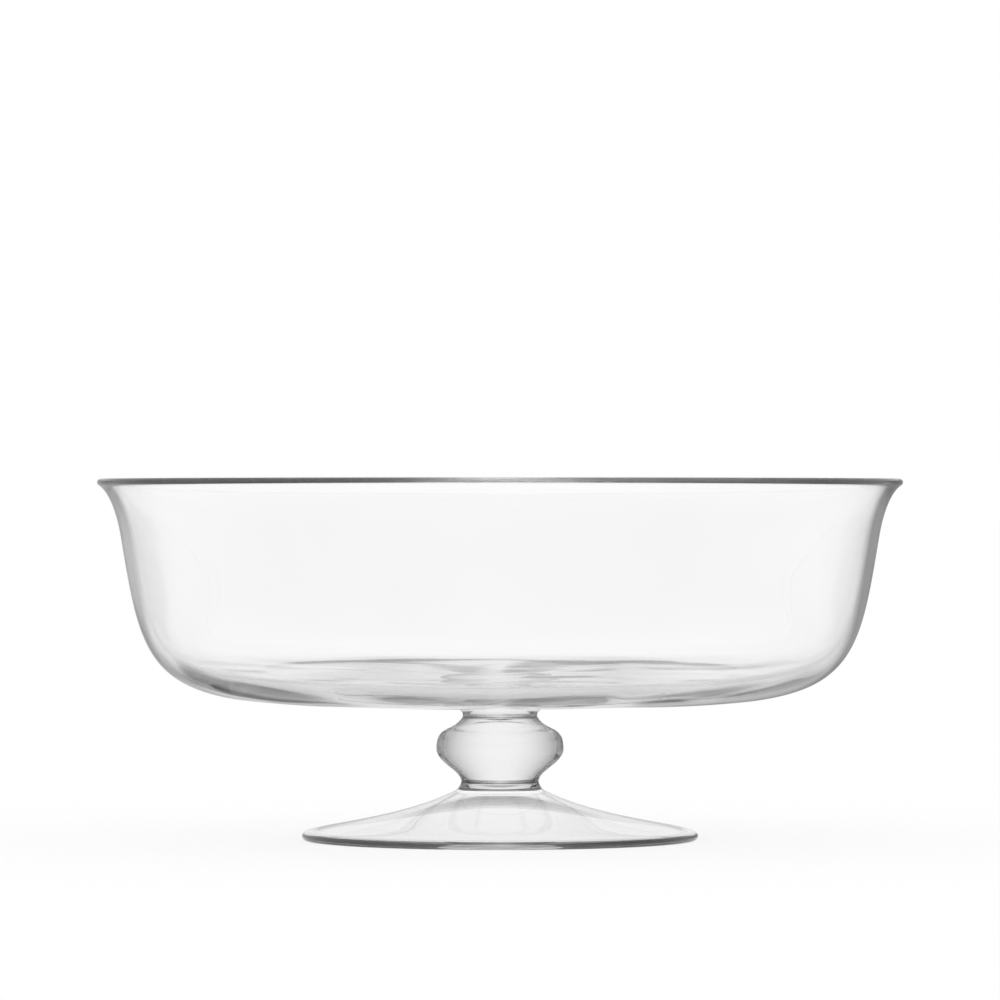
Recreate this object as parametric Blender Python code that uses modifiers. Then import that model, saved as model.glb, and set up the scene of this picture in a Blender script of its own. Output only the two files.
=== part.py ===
"""Footed compote bowl of clear hand-made glass: bowl, collar, knop, collar and foot, stacked on one axis."""
from math import cos, pi, radians, sin

import bpy
from mathutils import Vector
from mathutils.geometry import interpolate_bezier

# All sizes are in metres. The foot stands on z = 0 and the axis of the bowl is the Z axis.

# Bowl: blown shell with a flared, fire-polished lip and a shallow dished floor that thins to its middle.
RIM_RADIUS = 0.145
BOWL_HEIGHT = 0.0819
LIP_THICKNESS = 0.0026
LIP_LEAN = radians(56)
LIP_REACH = 0.0086
LIP_DROP = 0.0211
WALL_THICKNESS = 0.0032
WALL_LEAN = radians(9.5)
CORNER_REACH = 0.0494
FLOOR_THICKNESS = 0.0046
MIDDLE_THICKNESS = 0.0034
FLOOR_RISE = 0.0019
FLOOR_SLOPE = radians(4.8)

# How far each end of the bowl's curves runs on along its own direction before it turns.
LIP_PULL = 0.0054
WALL_TOP_PULL = 0.007
WALL_PULL = 0.039
CORNER_PULL = 0.041
FLOOR_PULL = 0.010
BOWL_SEAT_PULL = 0.014

# Stem: a short waisted collar under the bowl, a blown knop and a second collar on the foot. All three
# are hollow, and the floor of the bowl and the crown of the foot close the air inside.
STEM_WALL = 0.0019
BELLY_WALL = 0.0026
STEM_WALL_LEAN = 0.28
BOWL_COLLAR_HEIGHT = 0.0035
KNOP_HEIGHT = 0.0226
KNOP_RADIUS = 0.0229
KNOP_BELLY = 0.0115
FOOT_COLLAR_HEIGHT = 0.0029
BOWL_COLLAR_FLARE = radians(20)
BOWL_COLLAR_FLARE_PULL = 0.0022
NECK_SPLAY = radians(20)
NECK_PULL = 0.002
SHOULDER_SPLAY = radians(32)
SHOULDER_PULL = 0.0064
BELLY_UPPER_PULL = 0.0085
BELLY_LOWER_PULL = 0.0052
KNOP_BASE_PULL = 0.0037
FOOT_COLLAR_TAPER = radians(5)
FOOT_COLLAR_TAPER_PULL = 0.0012
FOOT_COLLAR_FLARE = radians(45)
FOOT_COLLAR_FLARE_PULL = 0.0016

# Radii of the four joints. The pieces on both sides of a joint share its radius.
BOWL_JOINT_RADIUS = 0.0170
KNOP_TOP_RADIUS = 0.0135
KNOP_BASE_RADIUS = 0.0140
FOOT_JOINT_RADIUS = 0.0156

# Foot: spread cone with a rounded edge, a flat rest ring and a hollow, thinner towards the stem.
FOOT_RADIUS = 0.0713
FOOT_HEIGHT = 0.0180
FOOT_EDGE = 0.0032
FOOT_SPREAD = radians(28)
FOOT_SPREAD_PULL = 0.0219
FOOT_TURN_DOWN = radians(34)
FOOT_TURN_PULL = 0.0042
REST_WIDTH = 0.0028
HOLLOW_RISE = radians(30)
HOLLOW_RISE_PULL = 0.006
HOLLOW_SPREAD = radians(27)
HOLLOW_SPREAD_PULL = 0.0225
SHOULDER_WALL = 0.0022
CROWN_WALL = 0.0016
CROWN_SIDE_PULL = 0.003
CROWN_PULL = 0.008

# Gap left at each joint.
JOINT_GAP = 0.0003

# Sides of a turned piece, and points along a short, a middling and a long curve of an outline.
TURN_STEPS = 64
SHORT_CURVE = 7
MIDDLE_CURVE = 10
LONG_CURVE = 14

# Directions in the plane of an outline.
DOWN = -pi / 2
INWARD = -pi

# Heights of the joints, from the table up.
foot_collar_base = FOOT_HEIGHT + JOINT_GAP
knop_base = foot_collar_base + FOOT_COLLAR_HEIGHT + JOINT_GAP
bowl_collar_base = knop_base + KNOP_HEIGHT + JOINT_GAP
bowl_base = bowl_collar_base + BOWL_COLLAR_HEIGHT + JOINT_GAP
rim_top = bowl_base + BOWL_HEIGHT


def point(radius, height):
    """Point of an outline, in the plane it is turned from."""
    return Vector((radius, 0.0, height))


def heading(angle):
    """Unit direction in that plane: 0 is outward, a quarter turn is up."""
    return point(cos(angle), sin(angle))


def curve(start, start_angle, start_pull, end, end_angle, end_pull, count):
    """Smooth run of points from start to end, leaving and arriving along the given directions."""
    leave = start + heading(start_angle) * start_pull
    arrive = end - heading(end_angle) * end_pull
    return interpolate_bezier(start, leave, arrive, end, count)


def arc(centre, radius, start_angle, end_angle, count):
    """Points of an arc about centre, both ends included."""
    step = (end_angle - start_angle) / (count - 1)
    return [centre + heading(start_angle + step * index) * radius for index in range(count)]


def inset(outline, thicknesses, lean=1.0):
    """Outline moved inward by each point's own thickness. The smaller the lean, the more level the move."""
    moved = []
    last = len(outline) - 1
    for index, here in enumerate(outline):
        run = outline[min(index + 1, last)] - outline[max(index - 1, 0)]
        inward = point(run.z, -run.x * lean).normalized()
        moved.append(here + inward * thicknesses[index])
    return moved


def blend(start, end, count):
    """Even run of values from start to end."""
    return [start + (end - start) * index / (count - 1) for index in range(count)]


def bowl_outline():
    """Inside from the middle of the floor up to the lip, then the outside down to the joint."""
    lip_centre = point(RIM_RADIUS - LIP_THICKNESS / 2, rim_top - LIP_THICKNESS / 2)
    lip_start = lip_centre + heading(-LIP_LEAN) * (LIP_THICKNESS / 2)
    wall_top = point(RIM_RADIUS - LIP_REACH, rim_top - LIP_DROP)
    floor_edge = point(wall_top.x - CORNER_REACH, bowl_base + FLOOR_RISE)
    seat_edge = point(BOWL_JOINT_RADIUS, bowl_base)
    lip_angle = DOWN - LIP_LEAN
    wall_angle = DOWN - WALL_LEAN
    floor_angle = INWARD + FLOOR_SLOPE
    flare = curve(lip_start, lip_angle, LIP_PULL, wall_top, wall_angle, WALL_TOP_PULL, SHORT_CURVE)
    body = curve(wall_top, wall_angle, WALL_PULL, floor_edge, floor_angle, CORNER_PULL, LONG_CURVE)
    dish = curve(floor_edge, floor_angle, FLOOR_PULL, seat_edge, INWARD, BOWL_SEAT_PULL, SHORT_CURVE)
    outside = flare + body[1:] + dish[1:]
    thicknesses = blend(LIP_THICKNESS, WALL_THICKNESS, len(flare))
    thicknesses += blend(WALL_THICKNESS, FLOOR_THICKNESS, len(body))[1:]
    thicknesses += blend(FLOOR_THICKNESS, MIDDLE_THICKNESS, len(dish))[1:]
    inside = inset(outside, thicknesses)
    lip = arc(lip_centre, LIP_THICKNESS / 2, pi - LIP_LEAN, -LIP_LEAN, SHORT_CURVE)
    floor_middle = point(0, inside[-1].z)
    return [floor_middle] + inside[:0:-1] + lip + outside[1:] + [point(0, bowl_base)]


def bowl_collar_outline():
    """Concave flank from the bowl's joint in to the neck above the knop."""
    top = bowl_collar_base + BOWL_COLLAR_HEIGHT
    upper = point(BOWL_JOINT_RADIUS, top)
    lower = point(KNOP_TOP_RADIUS, bowl_collar_base)
    flank = curve(upper, INWARD + BOWL_COLLAR_FLARE, BOWL_COLLAR_FLARE_PULL,
                  lower, DOWN + NECK_SPLAY, NECK_PULL, SHORT_CURVE)
    throat = KNOP_TOP_RADIUS - STEM_WALL
    return flank + [point(throat, bowl_collar_base), point(throat, top)]


def knop_outline():
    """Shoulder swelling out from the neck to the belly and drawing in again to the base, then the inside."""
    top = knop_base + KNOP_HEIGHT
    upper = point(KNOP_TOP_RADIUS, top)
    belly = point(KNOP_RADIUS, knop_base + KNOP_BELLY)
    lower = point(KNOP_BASE_RADIUS, knop_base)
    shoulder = curve(upper, DOWN + SHOULDER_SPLAY, SHOULDER_PULL,
                     belly, DOWN, BELLY_UPPER_PULL, MIDDLE_CURVE)
    base = curve(belly, DOWN, BELLY_LOWER_PULL, lower, DOWN, KNOP_BASE_PULL, MIDDLE_CURVE)
    outside = shoulder + base[1:]
    thicknesses = blend(STEM_WALL, BELLY_WALL, len(shoulder))
    thicknesses += blend(BELLY_WALL, STEM_WALL, len(base))[1:]
    inside = inset(outside, thicknesses, STEM_WALL_LEAN)
    inside[0] = point(KNOP_TOP_RADIUS - STEM_WALL, top)
    inside[-1] = point(KNOP_BASE_RADIUS - STEM_WALL, knop_base)
    return outside + inside[::-1]


def foot_collar_outline():
    """Short neck under the knop that opens out to the foot's joint."""
    top = foot_collar_base + FOOT_COLLAR_HEIGHT
    upper = point(KNOP_BASE_RADIUS, top)
    lower = point(FOOT_JOINT_RADIUS, foot_collar_base)
    flank = curve(upper, DOWN - FOOT_COLLAR_TAPER, FOOT_COLLAR_TAPER_PULL,
                  lower, DOWN + FOOT_COLLAR_FLARE, FOOT_COLLAR_FLARE_PULL, SHORT_CURVE)
    throat = KNOP_BASE_RADIUS - STEM_WALL
    return flank + [point(throat, foot_collar_base), point(throat, top)]


def foot_outline():
    """Upper side out to the rounded edge, the rest ring, then the hollow up to its crown."""
    edge_centre = point(FOOT_RADIUS - FOOT_EDGE / 2, FOOT_EDGE / 2)
    edge_start = edge_centre + heading(pi / 2 - FOOT_TURN_DOWN) * (FOOT_EDGE / 2)
    seat_edge = point(FOOT_JOINT_RADIUS, FOOT_HEIGHT)
    rest_inner = point(edge_centre.x - REST_WIDTH, 0)
    hollow_shoulder = point(FOOT_JOINT_RADIUS, FOOT_HEIGHT - SHOULDER_WALL)
    crown = point(0, FOOT_HEIGHT - CROWN_WALL)
    upper = curve(seat_edge, -FOOT_SPREAD, FOOT_SPREAD_PULL,
                  edge_start, -FOOT_TURN_DOWN, FOOT_TURN_PULL, LONG_CURVE)
    edge = arc(edge_centre, FOOT_EDGE / 2, pi / 2 - FOOT_TURN_DOWN, DOWN, SHORT_CURVE)
    hollow = curve(rest_inner, INWARD - HOLLOW_RISE, HOLLOW_RISE_PULL,
                   hollow_shoulder, INWARD - HOLLOW_SPREAD, HOLLOW_SPREAD_PULL, LONG_CURVE)
    dome = curve(hollow_shoulder, INWARD - HOLLOW_SPREAD, CROWN_SIDE_PULL,
                 crown, INWARD, CROWN_PULL, SHORT_CURVE)
    return [point(0, FOOT_HEIGHT)] + upper + edge[1:] + hollow + dome[1:]


def glass(name, tint):
    """Clear, smooth glass with a trace of colour."""
    material = bpy.data.materials.new(name)
    material.use_nodes = True
    shader = material.node_tree.nodes["Principled BSDF"]
    shader.inputs["Base Color"].default_value = (*tint, 1.0)
    shader.inputs["Roughness"].default_value = 0.02
    shader.inputs["Metallic"].default_value = 0.0
    shader.inputs["IOR"].default_value = 1.5
    shader.inputs["Transmission Weight"].default_value = 1.0
    material.diffuse_color = (*tint, 1.0)
    return material


def turned(name, outline, tint):
    """Named piece turned about the Z axis from its outline, which is a closed ring if it is off the axis."""
    mesh = bpy.data.meshes.new(name)
    edges = [(index, index + 1) for index in range(len(outline) - 1)]
    if outline[0].x > 0:
        edges.append((len(outline) - 1, 0))
    mesh.from_pydata(outline, edges, [])
    piece = bpy.data.objects.new(name, mesh)
    parts.objects.link(piece)
    screw = piece.modifiers.new("turn", "SCREW")
    screw.axis = "Z"
    screw.angle = 2 * pi
    screw.steps = TURN_STEPS
    screw.render_steps = TURN_STEPS
    screw.use_merge_vertices = True
    screw.merge_threshold = 0.00005
    screw.use_smooth_shade = True
    mesh.materials.append(glass(name + "_glass", tint))
    return piece


for old in list(bpy.data.objects):
    bpy.data.objects.remove(old)

parts = bpy.data.collections.new("compote_bowl")
bpy.context.scene.collection.children.link(parts)

turned("bowl", bowl_outline(), (0.95, 0.96, 0.96))
turned("bowl_collar", bowl_collar_outline(), (0.92, 0.93, 0.93))
turned("stem_knop", knop_outline(), (0.90, 0.91, 0.91))
turned("foot_collar", foot_collar_outline(), (0.92, 0.93, 0.93))
turned("foot", foot_outline(), (0.94, 0.95, 0.95))
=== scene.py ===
from math import cos, pi, radians, sin

import bpy
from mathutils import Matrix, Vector
from mathutils.geometry import interpolate_bezier


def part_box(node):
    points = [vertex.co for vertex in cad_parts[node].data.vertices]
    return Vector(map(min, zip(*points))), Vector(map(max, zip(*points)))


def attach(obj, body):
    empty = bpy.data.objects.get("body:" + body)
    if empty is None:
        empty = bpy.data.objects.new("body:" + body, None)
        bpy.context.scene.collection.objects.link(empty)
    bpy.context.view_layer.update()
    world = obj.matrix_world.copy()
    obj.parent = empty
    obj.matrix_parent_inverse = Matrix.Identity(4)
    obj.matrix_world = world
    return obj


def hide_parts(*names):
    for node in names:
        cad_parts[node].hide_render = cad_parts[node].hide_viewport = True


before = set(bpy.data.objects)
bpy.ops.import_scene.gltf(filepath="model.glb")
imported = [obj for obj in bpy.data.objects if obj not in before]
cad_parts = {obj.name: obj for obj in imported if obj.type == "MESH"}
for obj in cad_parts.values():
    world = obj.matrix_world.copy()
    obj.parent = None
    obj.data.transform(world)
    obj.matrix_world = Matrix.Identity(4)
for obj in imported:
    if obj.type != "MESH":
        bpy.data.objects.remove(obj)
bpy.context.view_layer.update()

print("frame loaded:", ", ".join(sorted(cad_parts)))

# everything is in metres, the foot stands on z = 0 and every piece is turned about Z
down = -90
inward = -180
near = 0.00001  # places closer than this are one
smoothAngle = radians(40)


def spot(radius, height):
    return Vector((radius, 0, height))


def heading(degrees):  # 0 is outward, 90 is up
    return spot(cos(radians(degrees)), sin(radians(degrees)))


def sweep(start, startAngle, startPull, end, endAngle, endPull, count):
    leave = start + heading(startAngle) * startPull
    arrive = end - heading(endAngle) * endPull
    return interpolate_bezier(start, leave, arrive, end, count)


def bead(centre, radius, startAngle, endAngle, count):
    turn = (endAngle - startAngle) / (count - 1)
    return [centre + heading(startAngle + turn * step) * radius for step in range(count)]


def ramp(start, end, count):
    return [start + (end - start) * step / (count - 1) for step in range(count)]


def innerSide(outside, walls, lean=1):  # the outside moved in by the wall, more level if it leans less
    inside = []
    last = len(outside) - 1
    for step, here in enumerate(outside):
        run = outside[min(step + 1, last)] - outside[max(step - 1, 0)]
        inside.append(here + spot(run.z, -run.x * lean).normalized() * walls[step])
    return inside


def spinPiece(name, outline, sides):
    bpy.ops.object.select_all(action="DESELECT")
    bpy.ops.mesh.primitive_plane_add(size=0.001)
    piece = bpy.context.object
    piece.name = piece.data.name = name
    bpy.ops.object.mode_set(mode="EDIT")
    bpy.ops.mesh.select_all(action="SELECT")
    bpy.ops.mesh.merge(type="CENTER")  # one point, drawn on along the outline
    bpy.ops.transform.translate(value=outline[0])
    for here, there in zip(outline, outline[1:]):
        bpy.ops.mesh.extrude_region_move(TRANSFORM_OT_translate={"value": there - here})
    bpy.ops.mesh.select_all(action="SELECT")
    bpy.ops.mesh.spin(steps=sides, angle=2 * pi, center=(0, 0, 0), axis=(0, 0, 1))
    bpy.ops.mesh.select_all(action="SELECT")
    bpy.ops.mesh.remove_doubles(threshold=near)
    bpy.ops.mesh.normals_make_consistent(inside=False)
    bpy.ops.object.mode_set(mode="OBJECT")
    bpy.ops.object.shade_smooth_by_angle(angle=smoothAngle)
    return piece


def softenRing(piece, height, radius, width):  # rounds the outer edge of a joint, which leaves a seam
    bpy.ops.object.mode_set(mode="EDIT")
    bpy.ops.mesh.select_all(action="DESELECT")
    bpy.ops.mesh.select_mode(type="EDGE")
    bpy.ops.object.mode_set(mode="OBJECT")
    mesh = piece.data
    for edge in mesh.edges:
        ends = [mesh.vertices[index].co for index in edge.vertices]
        edge.select = all(abs(end.z - height) < near and abs(end.xy.length - radius) < 10 * near
                          for end in ends)
    bpy.ops.object.mode_set(mode="EDIT")
    bpy.ops.mesh.bevel(offset=width, segments=5)
    bpy.ops.mesh.select_mode(type="VERT")
    bpy.ops.object.mode_set(mode="OBJECT")
    bpy.ops.object.shade_smooth_by_angle(angle=smoothAngle)


def joinHeight(lower, upper):  # middle of the gap between two nodes
    return (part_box(lower)[1][2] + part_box(upper)[0][2]) / 2


footJoin = joinHeight("foot", "foot_collar")
knopFoot = joinHeight("foot_collar", "stem_knop")
knopTop = joinHeight("stem_knop", "bowl_collar")
bowlJoin = joinHeight("bowl_collar", "bowl")
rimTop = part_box("bowl")[1][2]
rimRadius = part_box("bowl")[1][0]
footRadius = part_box("foot")[1][0]
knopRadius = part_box("stem_knop")[1][0]

# radii of the four fused joints
joints = {"bowl": 0.0170, "knopTop": 0.0135, "knopFoot": 0.0140, "foot": 0.0156}

bowlShape = {
    "sides": 256,
    "lip": 0.0026,
    "lipLean": 56,
    "lipReach": 0.0086,
    "lipDrop": 0.0211,
    "lipPull": 0.0054,
    "wall": 0.0032,
    "wallLean": 9.5,
    "wallTopPull": 0.007,
    "wallPull": 0.039,
    "cornerReach": 0.0494,
    "cornerPull": 0.041,
    "floor": 0.0046,
    "middle": 0.0034,
    "floorRise": 0.0019,
    "floorSlope": 4.8,
    "floorPull": 0.010,
    "seatPull": 0.014,
    "insideWaves": (0.05, 0.0006),  # how far apart and how high
    "outsideWaves": (0.03, 0.0006),
    "waveTop": 0.02,
    "waveReach": 0.12,
    "waveFade": 0.03,
    "seatFade": 0.01,
}


def makeBowl():
    shape = bowlShape
    lipCentre = spot(rimRadius - shape["lip"] / 2, rimTop - shape["lip"] / 2)
    lipStart = lipCentre + heading(-shape["lipLean"]) * shape["lip"] / 2
    wallTop = spot(rimRadius - shape["lipReach"], rimTop - shape["lipDrop"])
    floorEdge = spot(wallTop.x - shape["cornerReach"], bowlJoin + shape["floorRise"])
    seat = spot(joints["bowl"], bowlJoin)
    wallAngle = down - shape["wallLean"]
    floorAngle = inward + shape["floorSlope"]
    flare = sweep(lipStart, down - shape["lipLean"], shape["lipPull"],
                  wallTop, wallAngle, shape["wallTopPull"], 18)
    body = sweep(wallTop, wallAngle, shape["wallPull"], floorEdge, floorAngle, shape["cornerPull"], 56)
    dish = sweep(floorEdge, floorAngle, shape["floorPull"], seat, inward, shape["seatPull"], 24)
    outside = flare + body[1:] + dish[1:]
    walls = ramp(shape["lip"], shape["wall"], len(flare))
    walls += ramp(shape["wall"], shape["floor"], len(body))[1:]
    walls += ramp(shape["floor"], shape["middle"], len(dish))[1:]
    inside = innerSide(outside, walls)
    lip = bead(lipCentre, shape["lip"] / 2, 180 - shape["lipLean"], -shape["lipLean"], 15)
    middle = [spot(seat.x * step / 4, inside[-1].z) for step in range(4)]
    cavity = spot(joints["knopTop"] - knopShape["wall"], bowlJoin)
    outline = middle + inside[:0:-1] + lip + outside[1:] + [cavity, spot(0, bowlJoin)]
    piece = spinPiece("glass_bowl", outline, shape["sides"])
    waveFloor(piece, "inside", shape["insideWaves"], 1, 0)
    waveFloor(piece, "outside", shape["outsideWaves"], -1, joints["bowl"])
    return piece


def waveFloor(piece, side, waves, facing, clear):  # the floor of a blown bowl is never quite even
    shape = bowlShape
    size, height = waves
    group = piece.vertex_groups.new(name=side)
    for point in piece.data.vertices:
        away = point.co.xy.length
        if point.normal.z * facing > 0.5 and point.co.z < bowlJoin + shape["waveTop"]:
            outer = min(1, max(0, (shape["waveReach"] - away) / shape["waveFade"]))
            inner = min(1, max(0, (away - clear) / shape["seatFade"]))
            group.add([point.index], outer * inner, "REPLACE")
    texture = bpy.data.textures.new(side + "_waves", "CLOUDS")
    texture.noise_scale = size
    texture.noise_depth = 0
    bpy.ops.object.select_all(action="DESELECT")
    piece.select_set(True)
    bpy.context.view_layer.objects.active = piece
    bpy.ops.object.modifier_add(type="DISPLACE")
    waver = piece.modifiers[-1]
    waver.texture = texture
    waver.texture_coords = "LOCAL"
    waver.direction = "Z"
    waver.strength = height
    waver.vertex_group = side
    bpy.ops.object.modifier_apply(modifier=waver.name)


bowlCollarShape = {
    "sides": 128,
    "flare": 20,
    "flarePull": 0.0022,
    "neckSplay": 20,
    "neckPull": 0.002,
    "throatPull": 0.0008,
}


def makeBowlCollar():
    shape = bowlCollarShape
    upper = spot(joints["bowl"], bowlJoin)
    lower = spot(joints["knopTop"], knopTop)
    flank = sweep(upper, inward + shape["flare"], shape["flarePull"],
                  lower, down + shape["neckSplay"], shape["neckPull"], 16)
    cavity = spot(joints["knopTop"] - knopShape["wall"], knopTop)
    pull = shape["throatPull"]
    throat = sweep(cavity, 90, pull, spot(cavity.x, bowlJoin), 90, pull, 8)
    outline = flank + throat + flank[:1]
    piece = spinPiece("glass_bowl_collar", outline, shape["sides"])
    softenRing(piece, knopTop, joints["knopTop"], knopShape["topSeam"])
    return piece


knopShape = {
    "sides": 192,
    "wall": 0.0019,
    "bellyWall": 0.0026,
    "wallLean": 0.28,
    "belly": 0.01165,
    "shoulderSplay": 32,
    "shoulderPull": 0.0064,
    "upperPull": 0.0085,
    "lowerPull": 0.0052,
    "basePull": 0.0037,
    "topSeam": 0.0003,
    "baseSeam": 0.0005,
}


def makeKnop():  # a blown sleeve, open into the collars above and below
    shape = knopShape
    upper = spot(joints["knopTop"], knopTop)
    belly = spot(knopRadius, knopFoot + shape["belly"])
    lower = spot(joints["knopFoot"], knopFoot)
    shoulder = sweep(upper, down + shape["shoulderSplay"], shape["shoulderPull"],
                     belly, down, shape["upperPull"], 30)
    base = sweep(belly, down, shape["lowerPull"], lower, down, shape["basePull"], 30)
    outside = shoulder + base[1:]
    walls = ramp(shape["wall"], shape["bellyWall"], len(shoulder))
    walls += ramp(shape["bellyWall"], shape["wall"], len(base))[1:]
    inside = innerSide(outside, walls, shape["wallLean"])
    inside[0] = spot(upper.x - shape["wall"], knopTop)
    inside[-1] = spot(lower.x - shape["wall"], knopFoot)
    piece = spinPiece("glass_knop", outside + inside[::-1] + outside[:1], shape["sides"])
    softenRing(piece, knopTop, joints["knopTop"], shape["topSeam"])
    softenRing(piece, knopFoot, joints["knopFoot"], shape["baseSeam"])
    return piece


footCollarShape = {
    "sides": 128,
    "taper": 5,
    "taperPull": 0.0012,
    "flare": 45,
    "flarePull": 0.0016,
    "throatPull": 0.0012,
}


def makeFootCollar():
    shape = footCollarShape
    upper = spot(joints["knopFoot"], knopFoot)
    lower = spot(joints["foot"], footJoin)
    flank = sweep(upper, down - shape["taper"], shape["taperPull"],
                  lower, down + shape["flare"], shape["flarePull"], 16)
    cavity = spot(joints["knopFoot"] - knopShape["wall"], knopFoot)
    pull = shape["throatPull"]
    throat = sweep(spot(cavity.x, footJoin), 90, pull, cavity, 90, pull, 8)
    outline = flank + throat + flank[:1]
    piece = spinPiece("glass_foot_collar", outline, shape["sides"])
    softenRing(piece, knopFoot, joints["knopFoot"], knopShape["baseSeam"])
    return piece


footShape = {
    "sides": 256,
    "edge": 0.0032,
    "spread": 28,
    "spreadPull": 0.0219,
    "turnDown": 34,
    "turnPull": 0.0042,
    "restWidth": 0.0028,
    "hollowStart": 30,
    "hollowStartPull": 0.006,
    "hollowShoulder": 0.0158,
    "hollowSlope": 27,
    "hollowPull": 0.0225,
    "hollow": 0.0164,
    "crownSidePull": 0.003,
    "crownPull": 0.008,
}


def makeFoot():
    shape = footShape
    edgeCentre = spot(footRadius - shape["edge"] / 2, shape["edge"] / 2)
    edgeStart = edgeCentre + heading(90 - shape["turnDown"]) * shape["edge"] / 2
    seat = spot(joints["foot"], footJoin)
    restInner = spot(edgeCentre.x - shape["restWidth"], 0)
    shoulder = spot(joints["foot"], shape["hollowShoulder"])
    crown = spot(0, shape["hollow"])
    upper = sweep(seat, -shape["spread"], shape["spreadPull"],
                  edgeStart, -shape["turnDown"], shape["turnPull"], 48)
    edge = bead(edgeCentre, shape["edge"] / 2, 90 - shape["turnDown"], down, 15)
    slope = inward - shape["hollowSlope"]
    hollow = sweep(restInner, inward - shape["hollowStart"], shape["hollowStartPull"],
                   shoulder, slope, shape["hollowPull"], 48)
    dome = sweep(shoulder, slope, shape["crownSidePull"], crown, inward, shape["crownPull"], 14)
    cavity = spot(joints["knopFoot"] - knopShape["wall"], footJoin)
    outline = [spot(0, footJoin), cavity] + upper + edge[1:] + hollow + dome[1:]
    return spinPiece("glass_foot", outline, shape["sides"])


pieces = {
    "bowl": (makeBowl(), "bowl_glass"),
    "bowl_collar": (makeBowlCollar(), "stem_glass"),
    "stem_knop": (makeKnop(), "stem_glass"),
    "foot_collar": (makeFootCollar(), "stem_glass"),
    "foot": (makeFoot(), "foot_glass"),
}
print("pieces turned:", ", ".join(piece.name for piece, slot in pieces.values()))


def addMath(nodes, links, operation, first, second=None):
    node = nodes.new("ShaderNodeMath")
    node.operation = operation
    for socket, value in zip(node.inputs, (first, second)):
        if isinstance(value, bpy.types.NodeSocket):
            links.new(value, socket)
        elif value is not None:
            socket.default_value = value
    return node.outputs[0]


def addRange(nodes, links, value, fromMin, fromMax, toMin, toMax, smooth=True):
    node = nodes.new("ShaderNodeMapRange")
    node.interpolation_type = "SMOOTHSTEP" if smooth else "LINEAR"
    links.new(value, node.inputs["Value"])
    ends = (("From Min", fromMin), ("From Max", fromMax), ("To Min", toMin), ("To Max", toMax))
    for name, number in ends:
        if isinstance(number, bpy.types.NodeSocket):
            links.new(number, node.inputs[name])
        else:
            node.inputs[name].default_value = number
    return node.outputs[0]


def addChoice(nodes, links, chooser, low, high):
    return addRange(nodes, links, chooser, 0, 1, low, high, False)


# tone face on and edge on, where the edge tone is painted shade that greys the glass as it turns away,
# size and depth of the ripples, the share that only lets light through, and the height and width of each
# dark line of painted shade: along the fused seams of the stem, partly a dark seam, and along the edge
# of the foot
glassLooks = {
    "bowl_glass": {"tone": 1, "edge": 0.98, "fade": 0.5, "ripple": 24, "depth": 0.15, "plain": 0,
                   "seamAndShadeLines": ()},
    "stem_glass": {"tone": 0.973, "edge": 0.28, "fade": 1.25, "ripple": 60, "depth": 0.05, "plain": 0.5,
                   "seamAndShadeLines": ((knopTop, 0.0006), (knopFoot, 0.0009))},
    "foot_glass": {"tone": 1, "edge": 0.98, "fade": 0.5, "ripple": 30, "depth": 0.04, "plain": 0,
                   # the foot's dark line is painted shade along its edge
                   "seamAndShadeLines": ((0.001, 0.003),)},
}
glassFinish = {  # what all the glass has in common
    "index": 1.5,
    "rippleHeight": 0.001,
    "streakTone": 0.992,
    "smearScale": 90,
    "dullest": 0.03,
    "lineSide": 0.2,
    "lineLevel": 2,
    "clearAbove": 0.3,
    "greyLevel": 0.9,
}


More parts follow.
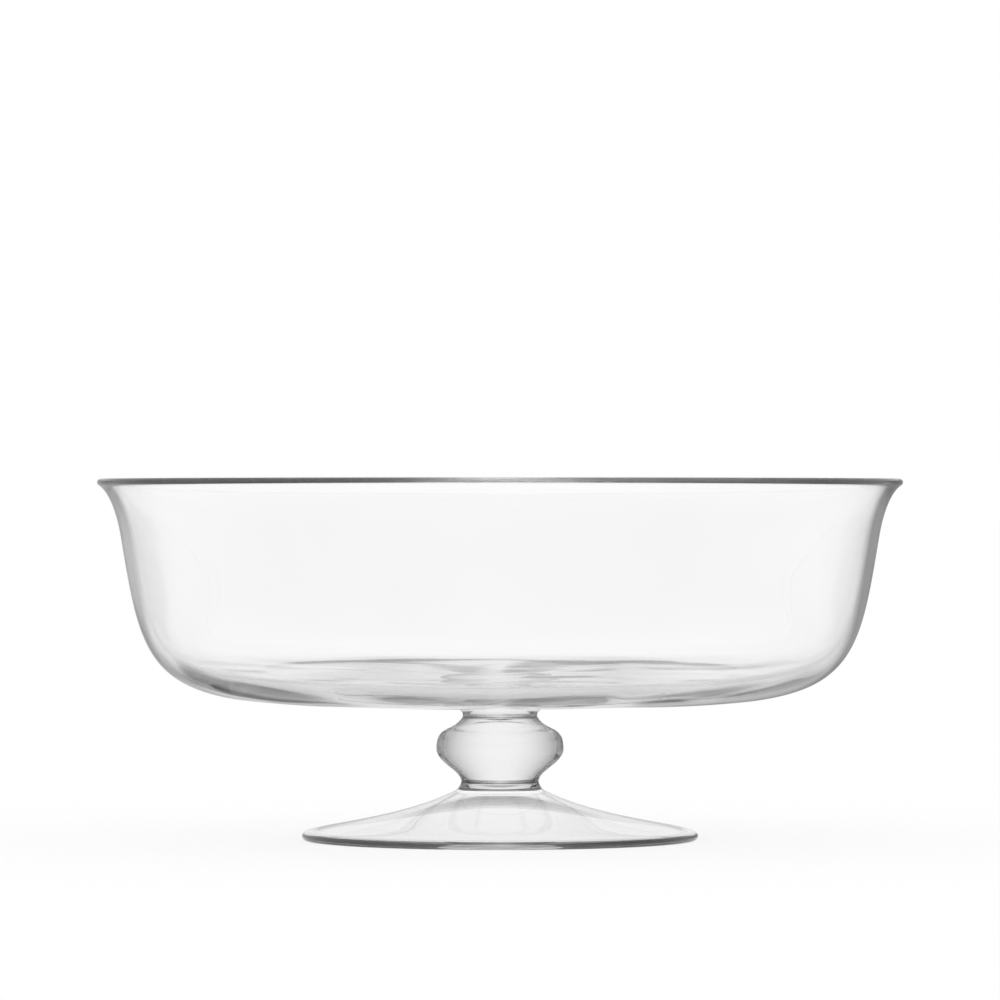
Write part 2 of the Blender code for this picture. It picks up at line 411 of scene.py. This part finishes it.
def clearGlass(name):
    look = glassLooks[name]
    finish = glassFinish
    glass = bpy.data.materials.new(name)
    glass.use_nodes = True
    nodes, links = glass.node_tree.nodes, glass.node_tree.links
    shader = nodes["Principled BSDF"]
    shader.inputs["IOR"].default_value = finish["index"]
    shader.inputs["Transmission Weight"].default_value = 1
    place = nodes.new("ShaderNodeTexCoord")
    cloud = nodes.new("ShaderNodeTexNoise")  # slow ripples left by the blowing
    cloud.inputs["Scale"].default_value = look["ripple"]
    cloud.inputs["Detail"].default_value = 1
    links.new(place.outputs["Object"], cloud.inputs["Vector"])
    bump = nodes.new("ShaderNodeBump")
    bump.inputs["Strength"].default_value = look["depth"]
    bump.inputs["Distance"].default_value = finish["rippleHeight"]
    links.new(cloud.outputs["Fac"], bump.inputs["Height"])
    links.new(bump.outputs["Normal"], shader.inputs["Normal"])
    # painted shade: the glass is tinted greyer the more its surface turns away from the view
    facing = nodes.new("ShaderNodeLayerWeight")
    facing.inputs["Blend"].default_value = 0.5
    paintedSideShade = addMath(nodes, links, "POWER", facing.outputs["Facing"], look["fade"])
    split = nodes.new("ShaderNodeSeparateXYZ")
    links.new(place.outputs["Object"], split.inputs[0])
    if look["seamAndShadeLines"]:  # painted shade greys the stem and the foot to their sides only
        level = nodes.new("ShaderNodeVectorMath")
        level.operation = "MULTIPLY"
        links.new(place.outputs["Object"], level.inputs[0])
        level.inputs[1].default_value = (1, 1, 0)
        across = nodes.new("ShaderNodeVectorMath")
        across.operation = "NORMALIZE"
        links.new(level.outputs[0], across.inputs[0])
        links.new(across.outputs[0], facing.inputs["Normal"])
        upright = nodes.new("ShaderNodeCombineXYZ")
        upright.inputs["Z"].default_value = 1
        above = nodes.new("ShaderNodeLayerWeight")
        above.inputs["Blend"].default_value = 0.5
        links.new(upright.outputs[0], above.inputs["Normal"])
        seenLevel = above.outputs["Facing"]
        fromSide = addRange(nodes, links, seenLevel, finish["clearAbove"], finish["greyLevel"], 0, 1)
        paintedSideShade = addMath(nodes, links, "MULTIPLY", paintedSideShade, fromSide)  # seen from above the painted shade fades out
    tone = addRange(nodes, links, paintedSideShade, 0, 1, look["tone"], look["edge"], False)
    for height, width in look["seamAndShadeLines"]:  # painted shade lines, at the stem partly dark seams: dark to the sides, clear in the middle and from above
        off = addMath(nodes, links, "SUBTRACT", split.outputs["Z"], height)
        line = addRange(nodes, links, addMath(nodes, links, "ABSOLUTE", off), width / 3, width, 1, 0)
        side = addMath(nodes, links, "POWER", facing.outputs["Facing"], finish["lineSide"])
        flat = addMath(nodes, links, "POWER", seenLevel, finish["lineLevel"])
        side = addMath(nodes, links, "MULTIPLY", side, flat)
        clear = addMath(nodes, links, "SUBTRACT", 1, addMath(nodes, links, "MULTIPLY", line, side))
        tone = addMath(nodes, links, "MULTIPLY", tone, clear)
    streak = addRange(nodes, links, cloud.outputs["Fac"], 0.3, 0.7, finish["streakTone"], 1)
    tone = addMath(nodes, links, "MULTIPLY", tone, streak)
    tint = nodes.new("ShaderNodeCombineColor")
    for socket in tint.inputs[:3]:
        links.new(tone, socket)
    links.new(tint.outputs[0], shader.inputs["Base Color"])
    smear = nodes.new("ShaderNodeTexNoise")  # a few dull patches from handling
    smear.inputs["Scale"].default_value = finish["smearScale"]
    smear.inputs["Detail"].default_value = 4
    links.new(place.outputs["Object"], smear.inputs["Vector"])
    dull = addRange(nodes, links, smear.outputs["Fac"], 0.55, 0.8, 0, finish["dullest"])
    links.new(dull, shader.inputs["Roughness"])
    if look["plain"]:  # the share of the glass that only lets light through, without a mirror image
        through = nodes.new("ShaderNodeBsdfRefraction")
        through.inputs["IOR"].default_value = finish["index"]
        links.new(tint.outputs[0], through.inputs["Color"])
        links.new(dull, through.inputs["Roughness"])
        links.new(bump.outputs["Normal"], through.inputs["Normal"])
        blend = nodes.new("ShaderNodeMixShader")
        blend.inputs[0].default_value = look["plain"]
        links.new(shader.outputs[0], blend.inputs[1])
        links.new(through.outputs[0], blend.inputs[2])
        links.new(blend.outputs[0], nodes["Material Output"].inputs["Surface"])
    return glass


def fusedJoin():  # inside a fused joint the glass runs on, with nothing to see
    join = bpy.data.materials.new("fused_join")
    join.use_nodes = True
    nodes = join.node_tree.nodes
    nodes.clear()
    through = nodes.new("ShaderNodeBsdfTransparent")
    output = nodes.new("ShaderNodeOutputMaterial")
    join.node_tree.links.new(through.outputs[0], output.inputs["Surface"])
    return join


# height of each joint and the radius of the air inside it
fused = [
    (footJoin, joints["knopFoot"] - knopShape["wall"]),
    (knopFoot, joints["knopFoot"] - knopShape["wall"]),
    (knopTop, joints["knopTop"] - knopShape["wall"]),
    (bowlJoin, joints["knopTop"] - knopShape["wall"]),
]
joinMaterial = fusedJoin()
for node, (piece, slot) in pieces.items():
    piece.data.materials.append(clearGlass(slot))
    piece.data.materials.append(joinMaterial)
    for face in piece.data.polygons:
        away = face.center.xy.length
        for height, air in fused:
            level = abs(face.center.z - height) < near and abs(face.normal.z) > 0.999
            if level and away > air and node != "bowl":  # the bowl is glass all over
                face.material_index = 1
    piece.visible_glossy = slot != "stem_glass"  # the stem doesn't double in the foot
    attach(piece, "root")
    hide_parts(node)
print("glass set:", ", ".join(sorted(glassLooks)))

studio = {
    "floorRadius": 40,
    "floorWhite": 0.98,
    "shadowShare": 0.2,
    # painted shade: the floor near the object is darker where the glass mirrors it
    "nearFloorShade": 0.85,
    "nearFloorFade": (0.1, 0.4),
    "leftReflectedShade": (-0.12, 0.12, 0.03, 0.08, 0.25),  # painted shade seen only in reflections: place, where it starts and ends to fade, level
    "rightReflectedShade": (0.085, 0.045, 0.012, 0.045, 0.25),
    "domeLow": 5,
    "domeHigh": 9,
    "domeSides": 0.6,
    "sidesFade": (60, 120),
    "dome": 0.9,
    "ceiling": 1,
    "ceilingLow": 18,
    "ceilingHigh": 26,
    "trapped": (  # what light that is mirrored many times inside the glass still finds
        (-180, 0.3), (-120, 0.1), (-100, 0.04), (-64, 0.04), (-54, 0.22), (-30, 0.24),
        (-14, 0.45), (-5, 0.9), (5, 0.9), (12, 0.45), (20, 0.2), (30, 0.09),
        (54, 0.08), (64, 0.04), (100, 0.04), (120, 0.1), (180, 0.3),
    ),
    "trappedLow": 0.2,  # the most that it finds low down
    "trappedDepth": (2, 4),
    "band": (  # what the glass mirrors low down, by direction from straight behind it, in degrees
        (-180, 0.5), (-110, 0.6), (-75, 0.9), (-42, 0.85), (-32, 0.58), (-12, 0.55),
        (-7, 0.9), (-3, 0.9), (-2.3, 0.5), (-0.9, 0.5), (-0.5, 0.85), (0.5, 0.85),
        (0.8, 0.5), (2.1, 0.5), (2.7, 0.9), (6, 0.9), (11, 0.36), (32, 0.36),
        (42, 0.8), (75, 0.9), (110, 0.6), (180, 0.5),
    ),
    "bounces": 96,
    "clearBounces": 16,
}


def addAround(nodes, links, split, stops):  # a level for each direction on the compass
    turn = addMath(nodes, links, "ARCTAN2", split.outputs["X"], split.outputs["Y"])
    band = nodes.new("ShaderNodeValToRGB")
    links.new(addRange(nodes, links, turn, -pi, pi, 0, 1, False), band.inputs[0])
    while len(band.color_ramp.elements) < len(stops):
        band.color_ramp.elements.new(1)
    for stop, (angle, tone) in zip(band.color_ramp.elements, stops):
        stop.position = (angle + 180) / 360
        stop.color = (tone, tone, tone, 1)
    return band.outputs[0]


def addTrapped(nodes, links, path, split, most):  # light that was mirrored often finds less
    around = addAround(nodes, links, split, studio["trapped"])
    found = addMath(nodes, links, "MINIMUM", around, most)
    few, many = studio["trappedDepth"]
    return addRange(nodes, links, path.outputs["Glossy Depth"], few, many, 1, found, False)


def makeFloor():
    bpy.ops.object.select_all(action="DESELECT")
    bpy.ops.mesh.primitive_circle_add(vertices=128, radius=studio["floorRadius"], fill_type="NGON")
    floor = bpy.context.object
    floor.name = "floor"
    white = bpy.data.materials.new("floor_white")
    white.use_nodes = True
    nodes, links = white.node_tree.nodes, white.node_tree.links
    nodes.clear()
    path = nodes.new("ShaderNodeLightPath")
    # painted shade seen only in reflections: mirrored rays find the floor dimmer, by direction, near the
    # object and in two patches, while the camera sees it white
    mirrored = addMath(nodes, links, "GREATER_THAN", path.outputs["Glossy Depth"], 0.5)
    place = nodes.new("ShaderNodeTexCoord")
    split = nodes.new("ShaderNodeSeparateXYZ")
    links.new(place.outputs["Object"], split.inputs[0])
    away = nodes.new("ShaderNodeVectorMath")
    away.operation = "LENGTH"
    links.new(place.outputs["Object"], away.inputs[0])
    band = addAround(nodes, links, split, studio["band"])
    start, end = studio["nearFloorFade"]
    dim = addRange(nodes, links, away.outputs["Value"], start, end, studio["nearFloorShade"], band)
    for x, y, start, end, level in (studio["leftReflectedShade"], studio["rightReflectedShade"]):
        gap = nodes.new("ShaderNodeVectorMath")
        gap.operation = "DISTANCE"
        links.new(place.outputs["Object"], gap.inputs[0])
        gap.inputs[1].default_value = (x, y, 0)
        dim = addRange(nodes, links, gap.outputs["Value"], start, end, level, dim)
    trapped = addTrapped(nodes, links, path, split, studio["trappedLow"])
    dim = addMath(nodes, links, "MULTIPLY", dim, trapped)
    shade = addChoice(nodes, links, mirrored, 1, dim)
    paint = nodes.new("ShaderNodeCombineColor")
    tone = addMath(nodes, links, "MULTIPLY", shade, studio["floorWhite"])
    for socket in paint.inputs[:3]:
        links.new(tone, socket)
    matt = nodes.new("ShaderNodeBsdfDiffuse")
    links.new(paint.outputs[0], matt.inputs["Color"])
    glow = nodes.new("ShaderNodeEmission")
    links.new(shade, glow.inputs["Strength"])
    glowTone = (1 - studio["shadowShare"] * studio["floorWhite"]) / (1 - studio["shadowShare"])
    glow.inputs["Color"].default_value = (glowTone, glowTone, glowTone, 1)  # both shares add up to white
    blend = nodes.new("ShaderNodeMixShader")
    blend.inputs[0].default_value = studio["shadowShare"]
    links.new(glow.outputs[0], blend.inputs[1])
    links.new(matt.outputs[0], blend.inputs[2])
    output = nodes.new("ShaderNodeOutputMaterial")
    links.new(blend.outputs[0], output.inputs["Surface"])
    floor.data.materials.append(white)


def makeWorld():
    world = bpy.data.worlds.new("studio")
    bpy.context.scene.world = world
    world.use_nodes = True
    nodes, links = world.node_tree.nodes, world.node_tree.links
    nodes.clear()
    path = nodes.new("ShaderNodeLightPath")
    mirrored = addMath(nodes, links, "GREATER_THAN", path.outputs["Glossy Depth"], 0.5)
    place = nodes.new("ShaderNodeTexCoord")
    split = nodes.new("ShaderNodeSeparateXYZ")
    links.new(place.outputs["Generated"], split.inputs[0])
    spread = addMath(nodes, links, "ARCCOSINE", split.outputs["Y"])  # angle from straight behind
    high = addRange(nodes, links, split.outputs["Z"], sin(radians(studio["ceilingLow"])),
                    sin(radians(studio["ceilingHigh"])), studio["dome"], studio["ceiling"])
    start, end = studio["sidesFade"]
    high = addRange(nodes, links, spread, radians(start), radians(end), high, studio["domeSides"])
    band = addAround(nodes, links, split, studio["band"])
    dome = addRange(nodes, links, split.outputs["Z"], sin(radians(studio["domeLow"])),
                    sin(radians(studio["domeHigh"])), band, high)
    most = addRange(nodes, links, split.outputs["Z"], sin(radians(studio["domeHigh"])),
                    sin(radians(studio["ceilingLow"])), studio["trappedLow"], 1)
    dome = addMath(nodes, links, "MULTIPLY", dome, addTrapped(nodes, links, path, split, most))
    lit = addMath(nodes, links, "LESS_THAN", path.outputs["Diffuse Depth"], 0.5)
    level = addChoice(nodes, links, addMath(nodes, links, "MULTIPLY", mirrored, lit), 1, dome)
    sky = nodes.new("ShaderNodeBackground")
    sky.inputs["Color"].default_value = (1, 1, 1, 1)
    links.new(level, sky.inputs["Strength"])
    output = nodes.new("ShaderNodeOutputWorld")
    links.new(sky.outputs[0], output.inputs["Surface"])
    world.cycles.sampling_method = "NONE"


makeFloor()
makeWorld()
scene = bpy.context.scene
scene.view_settings.view_transform = "Standard"
scene.cycles.max_bounces = studio["bounces"]
scene.cycles.transmission_bounces = studio["bounces"]
scene.cycles.glossy_bounces = studio["bounces"]
scene.cycles.transparent_max_bounces = studio["clearBounces"]

cameraView = {"lens": 237.6, "sensor": 36, "away": 2.377, "height": 0.1224}
camera = bpy.data.cameras.new("camera")
camera.lens = cameraView["lens"]
camera.sensor_width = cameraView["sensor"]
cameraObject = bpy.data.objects.new("camera", camera)
cameraObject.location = (0, -cameraView["away"], cameraView["height"])
cameraObject.rotation_euler = (pi / 2, 0, 0)
scene.collection.objects.link(cameraObject)
scene.camera = cameraObject
print("studio and camera set")
